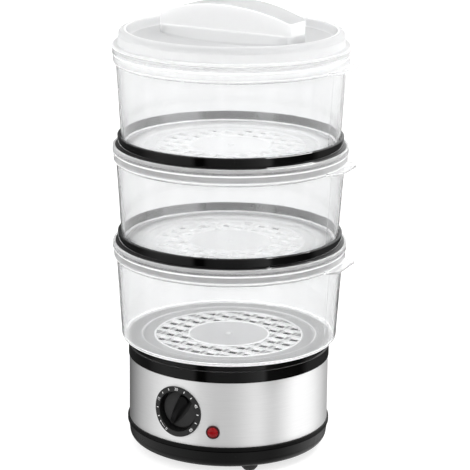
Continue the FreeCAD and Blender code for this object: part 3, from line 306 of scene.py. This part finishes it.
def ring_finish():
    """Gloss black, with pale patches inside that stand in for the room's reflection there. Each
    patch has an angle round from -Y, which is atan2(x, -y), a half width and a strength."""
    finish = Finish("ring_gloss")
    speck = finish.noise(GLOSS_GRAIN)
    reflection_streaks = finish.noise(80.0, (1, 1, 0.1), 3.0)
    inside = finish.under(finish.radius(), RING_INSIDE, 0.0005)
    angle = finish.add("Math", {"operation": "ARCTAN2"}, {0: finish.axis("X"), 1: 0.0 - finish.axis("Y")})
    # painted reflection: pale patches at set angles on the ring's inside, streaked up and down
    pale = sum(finish.line(angle, centre, half) * strength for centre, half, strength in PAINTED_REFLECTIONS)
    shader = finish.add("BsdfPrincipled", {}, {
        "Base Color": finish.tint(pale * inside * (0.6 + reflection_streaks * 0.8), grey(0.0014), grey(0.42)),
        "Roughness": worn(finish, GLOSS, speck),
        "Normal": finish.bump(speck, GLOSS_DEPTH),
    })
    finish.cover(shader, "carrier_ring_lower", "carrier_ring_upper")


ring_finish()


# ---------------------------------------------------------------- dial plate
# A round black plate bent to the steel, with white marks for the minutes printed on its
# rim: numbers at each quarter of an hour, ticks between them, and an arc from zero upward.
moulded("dial_black", grey(0.006), grey(0.011), gloss=0.42, grain=2600.0, depth=0.00002,
        nodes=["dial_plate"], level=0.35)

dial_low, dial_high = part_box("dial_plate")
DIAL_CENTRE = (dial_low.z + dial_high.z) / 2
DIAL_FACE = -dial_low.y
MARK_INSET = 0.00235       # from the plate's edge
MARK_RADIUS = (dial_high.z - dial_low.z) / 2 - MARK_INSET
PRINT = 0.00004            # how far the ink stands off the plate
NUMERAL_HEIGHT = 0.0025
NUMERAL_SHARE = 0.70       # a digit's height in the font's size
TICK_WIDTH = 0.00065
TICK_HEIGHT = 0.0019
ZERO_ANGLE = 210           # all angles are degrees clockwise from the top
SCALE_START = 225
MINUTE_ANGLE = 4.5
ARC_START = 216
ARC_END = 232
ARC_POINTS = 12
ARC_HALF = 0.0002
HEAD_ANGLE = 234
HEAD = np.array([[0.0007, -0.0003], [0.0, 0.0013], [-0.0007, -0.0003]])


def flat_text(text, height):
    """Corners and faces of a line of text, centred on 0, with digits that high."""
    curve = bpy.data.curves.new("numeral", "FONT")
    curve.body = text
    curve.size = height / NUMERAL_SHARE
    curve.align_x = "CENTER"
    curve.align_y = "CENTER"
    curve.resolution_u = 4
    carrier = bpy.data.objects.new("numeral", curve)
    mesh = carrier.to_mesh()
    points = np.empty(len(mesh.vertices) * 3)
    mesh.vertices.foreach_get("co", points)
    faces = [tuple(face.vertices) for face in mesh.polygons]
    carrier.to_mesh_clear()
    bpy.data.objects.remove(carrier)
    bpy.data.curves.remove(curve)
    return points.reshape(-1, 3)[:, :2], faces


def bar(width, height):
    """Corners and faces of an upright bar centred on 0."""
    across = np.array([-0.5, 0.5, 0.5, -0.5]) * width
    up = np.array([-0.5, -0.5, 0.5, 0.5]) * height
    return np.stack([across, up], 1), [(0, 1, 2, 3)]


def marks():
    """The mark of minute m sits SCALE_START + MINUTE_ANGLE m degrees clockwise from the top, and
    zero at ZERO_ANGLE, where the timer is off. They stand upright along the radius, at
    MARK_RADIUS. An arc of ink runs on from zero to a small three-cornered head. The flat layout
    (u, v) is then bent to the plate of radius R: x = R sin(u / R), y = -R cos(u / R), z = centre + v."""
    points, faces = [], []

    def put(corners, loops, angle):
        turn = math.radians(angle)
        out = corners[:, 1] + MARK_RADIUS
        across = corners[:, 0]
        first = sum(len(block) for block in points)
        points.append(np.stack([
            out * math.sin(turn) + across * math.cos(turn),
            out * math.cos(turn) - across * math.sin(turn)], 1))
        faces.extend(tuple(first + corner for corner in loop) for loop in loops)

    for minute in range(0, 61, 5):
        angle = SCALE_START + minute * MINUTE_ANGLE if minute else ZERO_ANGLE
        if minute % 15 == 0:
            corners, loops = flat_text(str(minute), NUMERAL_HEIGHT)
        else:
            corners, loops = bar(TICK_WIDTH, TICK_HEIGHT)
        put(corners, loops, angle)
    sweep = np.radians(np.linspace(ARC_START, ARC_END, ARC_POINTS))
    arc = np.stack([np.sin(sweep), np.cos(sweep)], 1)
    first = sum(len(block) for block in points)
    points.append(np.concatenate([arc * (MARK_RADIUS - ARC_HALF), arc * (MARK_RADIUS + ARC_HALF)]))
    along = range(first, first + ARC_POINTS - 1)
    faces.extend((k, k + 1, k + 1 + ARC_POINTS, k + ARC_POINTS) for k in along)
    put(HEAD, [(0, 1, 2)], HEAD_ANGLE)

    flat = np.concatenate(points)
    bent = flat[:, 0] / DIAL_FACE
    reach = DIAL_FACE + PRINT
    return np.stack([reach * np.sin(bent), -reach * np.cos(bent), DIAL_CENTRE + flat[:, 1]], 1), faces


def piece(name, points, faces, material, body, smooth=False):
    """A new piece of those points and faces. It rides on a CAD body, unless body is None."""
    mesh = bpy.data.meshes.new(name)
    mesh.from_pydata(points.tolist(), [], faces)
    mesh.polygons.foreach_set("use_smooth", [smooth] * len(mesh.polygons))
    mesh.materials.append(material)
    made = bpy.data.objects.new(name, mesh)
    bpy.context.collection.objects.link(made)
    if body:
        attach(made, body)
    return made


ink = moulded("dial_ink", grey(0.90), grey(0.96), gloss=0.5, grain=2600.0, depth=0.000005, nodes=[])
piece("dial_marks", *marks(), ink.material, "base")


# ---------------------------------------------------------------- timer knob
# Black ABS knob on the timer's shaft: a disc with a tapering grip across it. The disc is
# satin and dark grey, and the grip is blacker towards its crest, which is painted shade.
GRIP_CREST = -0.0870       # y of the grip's front
GRIP_FADE = 0.0025


def knob_finish():
    """Satin dark grey disc, with painted shade that makes the grip blacker towards its crest."""
    finish = Finish("knob_black")
    speck = finish.noise(2400.0)
    rub = finish.noise(60.0, detail=4.0)
    # painted shade: the grip darkens towards its crest
    crest = finish.under(finish.axis("Y"), GRIP_CREST, GRIP_FADE)
    shader = finish.add("BsdfPrincipled", {}, {
        "Base Color": finish.tint(crest, grey(0.034), grey(0.0005)),
        "Roughness": 0.40 + crest * 0.15 + (rub - 0.5) * 0.12,
        "Specular IOR Level": 0.12,
        "Normal": finish.bump(speck, 0.00001),
    })
    finish.cover(shader, "timer_knob")


knob_finish()


# ---------------------------------------------------------------- pilot lamp
# A red polycarbonate lens snapped into a dark holder, with a neon bulb behind it. The lamp
# is off, so the lens shows only the light that falls in.
moulded("lamp_bezel", (0.030, 0.003, 0.004), (0.050, 0.004, 0.006), gloss=0.30, grain=2000.0, depth=0.00001,
        nodes=["lamp_holder"], level=0.25)


def lens_finish():
    """Red plastic, cloudy in its depth, in which light goes a few millimetres before it comes out."""
    finish = Finish("red_lens")
    depth = finish.noise(420.0, detail=3.0)
    shader = finish.add("BsdfPrincipled", {}, {
        "Base Color": finish.tint(depth, (0.19, 0.001, 0.003), (0.32, 0.002, 0.006)),
        "Roughness": 0.10 + depth * 0.06,
        "Specular IOR Level": 0.2,
        "Subsurface Weight": 0.35,
        "Subsurface Radius": (0.003, 0.0003, 0.0003),
        "Normal": finish.bump(depth, 0.00003),
    })
    finish.cover(shader, "lamp_lens")


lens_finish()


def glass_finish():
    """Clear glass, faintly warm, with a slow ripple from the blowing."""
    finish = Finish("bulb_glass")
    ripple = finish.noise(300.0)
    shader = finish.add("BsdfPrincipled", {}, {
        "Base Color": finish.tint(ripple, (0.92, 0.90, 0.86), (0.98, 0.97, 0.95)),
        "Roughness": 0.03 + ripple * 0.03,
        "Transmission Weight": 1.0,
        "IOR": 1.5,
        "Normal": finish.bump(ripple, 0.00003),
    })
    finish.cover(shader, "neon_bulb")


glass_finish()


# ---------------------------------------------------------------- steam sleeve
# A loose grey polypropylene ring round the hot plate, which keeps the water there shallow
# so that steam starts at once. The grey is a little uneven.
moulded("sleeve_grey", (0.30, 0.31, 0.32), (0.42, 0.43, 0.43), gloss=0.50, grain=1500.0, depth=0.00003,
        nodes=["steam_sleeve"])


# ---------------------------------------------------------------- baskets
# Three bowls moulded in clear plastic that is a little milky. The walls are polished, and
# the floor with its grille is frosted, so it scatters light.
FLOOR_TOP = 0.0045         # heights are above a basket's foot
BAND_FOOT = 0.0830
COLLAR_STEPS = ((0.0834, 0.0011), (0.0764, 0.0012))   # height, half width
RIM = 0.0886
TRAY_REACH = 0.010         # floors below this height lie over the black tray and get painted shade
GATE = 0.0018              # radii, from the middle outward
HUB_EDGE = 0.0340
BEADS = ((0.0357, 0.0011, 1.0), (0.0657, 0.0011, 1.0), (0.0775, 0.0009, 0.8))   # and half width, strength
GRILLE_INSIDE = 0.0360
GRILLE_OUTSIDE = 0.0645
FLOOR_EDGE = 0.0900
FOOT_RADIUS = 0.0938
COLLAR_INSIDE = 0.0995
COLLAR_OUTSIDE = 0.1034
TAB_ROOT = 0.1042
GRILLE_PITCH = 0.0145
GRILLE_HOLE = 0.0094
HOLE_EDGE_HIGHLIGHTS = (("X", 0.0010), ("Y", 0.0018))   # half width of the painted highlight along each hole's edge
PAINTED_EDGE_GLOW = 0.22


def veil(finish, pale):
    """Matt skin that throws half of the light back and lets half through, black where pale is 0
    and white where it is 1: only the mix of the two skins changes over the surface."""
    black = finish.add("BsdfDiffuse", {}, {"Color": (0, 0, 0, 1)})
    front = finish.add("BsdfDiffuse", {}, {"Color": (1, 1, 1, 1)})
    back = finish.add("BsdfTranslucent", {}, {"Color": (1, 1, 1, 1)})
    white = finish.add("MixShader", {}, {0: 0.5, 1: front, 2: back})
    return finish.add("MixShader", {}, {0: pale, 1: black, 2: white})


def basket_finish():
    """Clear wall with a thin veil of haze. The height above a basket's foot and the radius
    pick out the frosted floor and the collar's two bands. The bottom floor, which lies over the
    tray, is greyer with painted shade. Moulded edges carry painted highlights as white lines: rim,
    collar steps, foot, the floor's step and beads, and the holes' edges. A faint painted glow on
    them stands in for light carried to them through the plastic."""
    finish = Finish("clear_basket")
    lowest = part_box("basket_bottom")[0].z
    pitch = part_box("basket_middle")[0].z - lowest
    height = finish.axis("Z") - lowest
    level = finish.add("Math", {"operation": "FLOORED_MODULO"}, {0: height, 1: pitch})
    radius = finish.radius()

    low = finish.under(level, FLOOR_TOP, 0.0007)
    floor = low * finish.under(radius, FLOOR_EDGE, 0.0025)
    over_tray = finish.under(height, TRAY_REACH, 0.002)
    grille = finish.over(radius, GRILLE_INSIDE, 0.0005) * finish.under(radius, GRILLE_OUTSIDE, 0.0005)
    hub = finish.under(radius, HUB_EDGE, 0.0012)
    outside = finish.over(radius, COLLAR_INSIDE, 0.0010) * finish.under(radius, COLLAR_OUTSIDE, 0.0004)
    band = outside * finish.over(level, BAND_FOOT, 0.0008)
    collar = outside - band
    tab = finish.over(radius, TAB_ROOT, 0.0008)

    # painted highlights: white lines along the holes' edges, the floor's beads and step, the centre dot,
    # the collar's steps, the rim and the foot, all gathered in edges
    grid = []
    for axis, half in HOLE_EDGE_HIGHLIGHTS:
        cell = finish.add("Math", {"operation": "PINGPONG"}, {0: finish.axis(axis), 1: GRILLE_PITCH / 2})
        grid.append(finish.line(cell, GRILLE_HOLE / 2 + half / 2, half))
    painted_lattice_highlights = finish.most(grid[0] * 0.6, grid[1]) * grille
    beads = sum(finish.line(radius, centre, half) * strength for centre, half, strength in BEADS)
    gate = finish.under(radius, GATE, 0.0006)
    painted_floor_highlights = low * finish.most(beads + gate, painted_lattice_highlights) * (0.30 + over_tray * 0.70)
    steps = sum(finish.line(level, centre, half) for centre, half in COLLAR_STEPS)
    rim = finish.over(level, RIM, 0.0004)
    foot = finish.line(radius, FOOT_RADIUS, 0.0022) * low
    edges = finish.least(painted_floor_highlights + (steps + rim) * outside * 0.8 + foot, 1.0)

    ripple = finish.noise(22.0, (1, 1, 0.35), 3.0)
    streak = finish.noise(90.0, (1, 1, 0.02), 3.0)
    frost = finish.noise(900.0, detail=3.0)
    clear = finish.add("BsdfPrincipled", {}, {
        "Base Color": finish.tint(ripple, (0.862, 0.867, 0.872), (0.902, 0.905, 0.908)),
        "Roughness": 0.02 + ripple * 0.03 + floor * 0.25,
        "Transmission Weight": 1.0,
        "IOR": 1.53,
        "Normal": finish.bump(ripple + frost * floor * 0.02, 0.0004),
    })
    # painted shade: the bottom floor, over the tray, is greyer, and darker still on its grille, but not on
    # the hub
    skin = 0.95 - floor * over_tray * (0.15 + grille * 0.41 - hub * 0.15)
    milk = veil(finish, skin + (1.0 - skin) * edges)
    wall = 0.062 + (streak - 0.5) * 0.08 + ripple * 0.02
    haze = wall + floor * (0.72 + hub * 0.12) + band * 0.10 + collar * 0.26 + tab * 0.18
    mixed = finish.add("MixShader", {}, {0: finish.most(haze, edges * 0.92), 1: clear, 2: milk})
    # painted glow: the edge lines give out a faint light of their own
    glow = finish.add("Emission", {}, {"Color": (1, 1, 1, 1), "Strength": PAINTED_EDGE_GLOW})
    painted_edge_glow = finish.add("MixShader", {}, {0: edges, 2: glow})
    whole = finish.add("AddShader", {}, {0: mixed, 1: painted_edge_glow})
    finish.cover(whole, "basket_bottom", "basket_middle", "basket_top")


basket_finish()


# ---------------------------------------------------------------- lid
# Frosted polypropylene, moulded in one with its hollow handle. The surface is finely
# textured all over, so what is behind it shows only as light and shade.
DISC_TOP = 0.0155          # heights are above the skirt's edge
BEAD_FOOT = 0.0200
HANDLE_FOOT = 0.0218
HANDLE_WAIST = 0.0226
HANDLE_CREST = 0.0456
HANDLE_ARCH = 3.007        # crest's drop over x squared
HANDLE_END = 0.0640        # x
DISC_EDGE = 0.0860         # radii
SHOULDER_BEAD = 0.0921
SIDE_INSIDE = 0.0950
FLANGE_INSIDE = 0.1015
FACES_UP = 0.45            # z of the surface's normal


def lid_finish():
    """Frosted all through: over most of it, more than half of the light goes on with a blur and
    the rest is scattered. The disc and the handle's top are greyer with painted shade, the side
    and the handle's front paler with painted light. Moulded edges are whiter with painted
    highlights: flange, shoulder's bead, handle's waist, ends and crest, the crest's height being
    HANDLE_CREST - HANDLE_ARCH x^2 above the skirt's edge."""
    finish = Finish("frosted_lid")
    along = finish.axis("X")
    height = finish.axis("Z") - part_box("lid")[0].z
    radius = finish.radius()
    facing = finish.add("NewGeometry", output="Normal")
    up = finish.over(finish.add("SeparateXYZ", {}, {0: facing}, "Z"), FACES_UP, 0.15)
    frost = finish.noise(1500.0, detail=3.0)
    cloud = finish.noise(25.0, detail=3.0)

    middle = finish.under(radius, DISC_EDGE, 0.0020)
    disc = middle * finish.under(height, DISC_TOP, 0.0010)
    side = finish.over(radius, SIDE_INSIDE, 0.0010) * finish.under(height, DISC_TOP, 0.0020)
    handle = middle * finish.over(height, HANDLE_FOOT, 0.0008)
    front_of_handle = handle * (1.0 - up)
    below_crest = HANDLE_CREST - along * along * HANDLE_ARCH - height
    crest = finish.line(below_crest, 0.0004, 0.0012) * (1.0 - up)
    ends = finish.over(finish.size(along), HANDLE_END, 0.0010)
    waist = finish.line(height, HANDLE_WAIST, 0.0011)
    bead = finish.line(radius, SHOULDER_BEAD, 0.0014) * finish.over(height, BEAD_FOOT, 0.0010)
    flange = finish.over(radius, FLANGE_INSIDE, 0.0007)
    # white: painted highlights on the moulded edges
    white = finish.least(middle * (waist + handle * (crest + ends)) + bead + flange, 1.0)
    # painted shade on the disc and on the handle's upward faces
    painted_top_shade = finish.most(disc * 0.40, handle * up * 0.90)

    clear = finish.add("BsdfPrincipled", {}, {
        "Base Color": finish.tint(painted_top_shade, (0.83, 0.835, 0.84), (0.30, 0.305, 0.31)),
        "Roughness": 0.40 + cloud * 0.06 + (frost - 0.5) * 0.03,
        "Transmission Weight": 1.0,
        "IOR": 1.45,
        "Normal": finish.bump(frost, 0.00002),
    })
    # pale: painted light on the side and on the handle's front
    pale = finish.most(white, front_of_handle * 0.5 + side * 0.5)
    milk = veil(finish, 0.70 + pale * 0.24)
    haze = finish.most(0.26 + cloud * 0.08 + front_of_handle * 0.32 + side * 0.22, white * 0.85)
    finish.cover(finish.add("MixShader", {}, {0: haze, 1: clear, 2: milk}), "lid")


lid_finish()


# ---------------------------------------------------------------- studio
# A white table that fades into a white room, soft lamps at both sides, and tall light
# panels with dark gaps between them that only show as bands in the steel and the gloss.
TABLE_RADIUS = 60.0
CAMERA_SIDE = math.radians(30)      # from -Y towards +X
PANEL_RADIUS = 3.0
PANEL_HALF = 4.0
STRIP_LEVEL = -0.85                 # height of the strip beyond the table's edge
STRIP_HALF = 0.6
STRIP_SOFT = 0.25
ROOM_PANELS = (                     # degrees round from the camera, light
    (-150, 0.20), (-110, 1.10), (-90, 1.30), (-65, 1.50), (-42, 1.35), (-20, 0.95), (0, 0.90), (15, 1.10),
    (30, 1.40), (42, 1.10), (50, 0.95), (58, 0.90), (75, 1.45), (88, 1.90), (105, 2.00), (122, 1.70),
    (150, 0.90))
TABLE_PANELS = (
    (-150, 0.05), (-103, 0.10), (-90, 0.30), (-75, 0.45), (-40, 0.42), (-35, 0.0), (-27, 0.0), (-23, 0.18),
    (-15, 0.24), (10, 0.26), (25, 0.44), (40, 0.70), (45, 0.10), (52, 0.08), (90, 0.03), (102, 0.25),
    (150, 0.05))
LAMP_AIM = Vector((0, 0, 0.2))
ROOM_LIGHT = 1.25
INNER_LIGHT = 4.2                   # added to what enters a clear wall


def seen(finish):
    """1 for light that the eye meets straight, in a reflection or through clear plastic."""
    straight = finish.add("LightPath", output="Is Camera Ray")
    glossy = finish.add("LightPath", output="Is Glossy Ray")
    through = finish.add("LightPath", output="Is Transmission Ray")
    return finish.least(straight + glossy + through, 1.0)


def table_finish():
    """Matt paper that takes the shadow, with enough glow to the eye to meet the white room."""
    finish = Finish("table")
    paper = finish.add("BsdfDiffuse", {}, {"Color": (*grey(0.42), 1)})
    glow = finish.add("Emission", {}, {"Strength": seen(finish) * 0.72})
    finish.cover(finish.add("AddShader", {}, {0: paper, 1: glow}))
    return finish.material


def table_top(radius, rings, spokes):
    """Points r (cos a, sin a, 0), with a even round the circle, and r the square of an even run
    from 0 to 1 times the radius, so that the faces are smaller towards the middle."""
    around = np.linspace(0, 2 * math.pi, spokes, endpoint=False)
    out = np.linspace(0, 1, rings + 1)[1:] ** 2 * radius
    ground = np.zeros((rings, spokes))
    grid = np.stack([np.outer(out, np.cos(around)), np.outer(out, np.sin(around)), ground], 2)
    points = np.concatenate([[[0.0, 0.0, 0.0]], grid.reshape(-1, 3)])
    ring, spoke = np.meshgrid(np.arange(rings - 1), np.arange(spokes), indexing="ij")
    here = 1 + ring * spokes + spoke
    beside = 1 + ring * spokes + (spoke + 1) % spokes
    quads = np.stack([here, here + spokes, beside + spokes, beside], 2).reshape(-1, 4)
    k = np.arange(spokes)
    fan = np.stack([np.zeros(spokes, int), 1 + k, 1 + (k + 1) % spokes], 1)
    return points, fan.tolist() + quads.tolist()


def panels():
    """An upright drum seen only in reflections: x = R sin a, y = -R cos a with R = PANEL_RADIUS, and
    z from -PANEL_HALF to PANEL_HALF. Its light depends on the angle from the camera: one run of
    values for the room, and one for the strip beyond the table."""
    rows, spokes = 65, 240
    angle = np.linspace(-180, 180, spokes, endpoint=False)
    turn = np.radians(angle) + CAMERA_SIDE
    height = np.linspace(-PANEL_HALF, PANEL_HALF, rows)
    strip = np.clip((STRIP_HALF - np.abs(height[:, None] - STRIP_LEVEL)) / STRIP_SOFT, 0, 1)
    table_light = np.interp(angle, *zip(*TABLE_PANELS))
    room_light = np.interp(angle, *zip(*ROOM_PANELS))
    level = table_light * strip + room_light * (1 - strip)
    points = np.stack([
        np.broadcast_to(PANEL_RADIUS * np.sin(turn), (rows, spokes)),
        np.broadcast_to(-PANEL_RADIUS * np.cos(turn), (rows, spokes)),
        np.broadcast_to(height[:, None], (rows, spokes))], 2).reshape(-1, 3)
    row, spoke = np.meshgrid(np.arange(rows - 1), np.arange(spokes), indexing="ij")
    here = row * spokes + spoke
    beside = row * spokes + (spoke + 1) % spokes
    faces = np.stack([here, here + spokes, beside + spokes, beside], 2).reshape(-1, 4).tolist()
    finish = Finish("panels")
    light = finish.add("Attribute", {"attribute_name": "level"}, {}, "Fac")
    finish.cover(finish.add("Emission", {}, {"Strength": light}))
    drum = piece("panels", points, faces, finish.material, None, True)
    attribute = drum.data.attributes.new("level", "FLOAT", "POINT")
    attribute.data.foreach_set("value", level.ravel())
    drum.visible_camera = False
    drum.visible_diffuse = False
    drum.visible_transmission = False
    drum.visible_shadow = False
    drum.visible_volume_scatter = False
    return drum


def lamp(name, side, rise, distance, size, power, shows, roll=0):
    """Soft lamp that faces the object from that side of the camera. One that shows is only
    a reflection; one that doesn't is only light."""
    turn, lift = math.radians(side) + CAMERA_SIDE, math.radians(rise)
    data = bpy.data.lights.new(name, "AREA")
    data.shape = "RECTANGLE"
    data.size, data.size_y = size
    data.energy = power
    made = bpy.data.objects.new(name, data)
    away = Vector((math.sin(turn) * math.cos(lift), -math.cos(turn) * math.cos(lift), math.sin(lift)))
    facing = away.to_track_quat("Z", "Y").to_matrix().to_4x4()
    place = Matrix.Translation(LAMP_AIM + away * distance)
    made.matrix_world = place @ facing @ Matrix.Rotation(math.radians(roll), 4, "Z")
    made.visible_glossy = shows
    made.visible_diffuse = not shows
    made.visible_transmission = False
    bpy.context.collection.objects.link(made)


class Room(Finish):
    """The world's light while it is built, by the same calls as a material."""

    def __init__(self, name):
        self.world = bpy.data.worlds.new(name)
        self.world.use_nodes = True
        self.tree = self.world.node_tree
        self.tree.nodes.clear()
        bpy.context.scene.world = self.world


def room():
    """White to the eye, in reflections and through clear plastic; ROOM_LIGHT on what it lights.
    Light that enters a clear wall after a matt surface counts INNER_LIGHT more, since no lamp
    reaches in there."""
    made = Room("room")
    through = made.add("LightPath", output="Is Transmission Ray")
    scattered = made.add("LightPath", output="Diffuse Depth")
    inside = through * made.least(scattered, 1.0)
    strength = ROOM_LIGHT - seen(made) * (ROOM_LIGHT - 1.0) + inside * INNER_LIGHT
    white = made.add("Background", {}, {"Color": (1, 1, 1, 1), "Strength": strength})
    made.add("OutputWorld", {}, {"Surface": white})


floor = piece("floor", *table_top(TABLE_RADIUS, 24, 64), table_finish(), None, True)
floor.visible_glossy = False
panels()
lamp("key", side=90, rise=56, distance=2.16, size=(0.6, 0.6), power=14.0, shows=False)
lamp("fill", side=-50, rise=27, distance=1.8, size=(1.0, 1.0), power=5.0, shows=False)
lamp("window", side=96, rise=57, distance=2.1, size=(1.3, 0.3), power=16.0, shows=True, roll=-45)
room()


# ---------------------------------------------------------------- camera
# A long lens from above the lid, thirty degrees round from the dial towards the lamp's
# side, and turned by half a degree as a hand-held camera is.
CAMERA_DISTANCE = 1.8094
CAMERA_RISE = math.radians(15.27)
CAMERA_YAW = math.radians(0.143)
CAMERA_ROLL = math.radians(0.55)
CAMERA_AIM = Vector((0, 0, 0.1925))


def camera():
    """Looks at CAMERA_AIM on the stack's axis from CAMERA_DISTANCE, at CAMERA_RISE above level and
    CAMERA_SIDE round, then yawed and rolled about its own axes."""
    level = math.cos(CAMERA_RISE)
    back = Vector((math.sin(CAMERA_SIDE) * level, -math.cos(CAMERA_SIDE) * level, math.sin(CAMERA_RISE)))
    data = bpy.data.cameras.new("camera")
    data.lens = 156.64
    data.sensor_width = 36.0
    data.dof.use_dof = False
    data.clip_end = 200.0
    made = bpy.data.objects.new("camera", data)
    facing = back.to_track_quat("Z", "Y").to_matrix().to_4x4()
    turned = facing @ Matrix.Rotation(-CAMERA_YAW, 4, "Y") @ Matrix.Rotation(CAMERA_ROLL, 4, "Z")
    made.matrix_world = Matrix.Translation(CAMERA_AIM + back * CAMERA_DISTANCE) @ turned
    bpy.context.collection.objects.link(made)
    bpy.context.scene.camera = made


camera()
bpy.context.scene.view_settings.view_transform = "Standard"
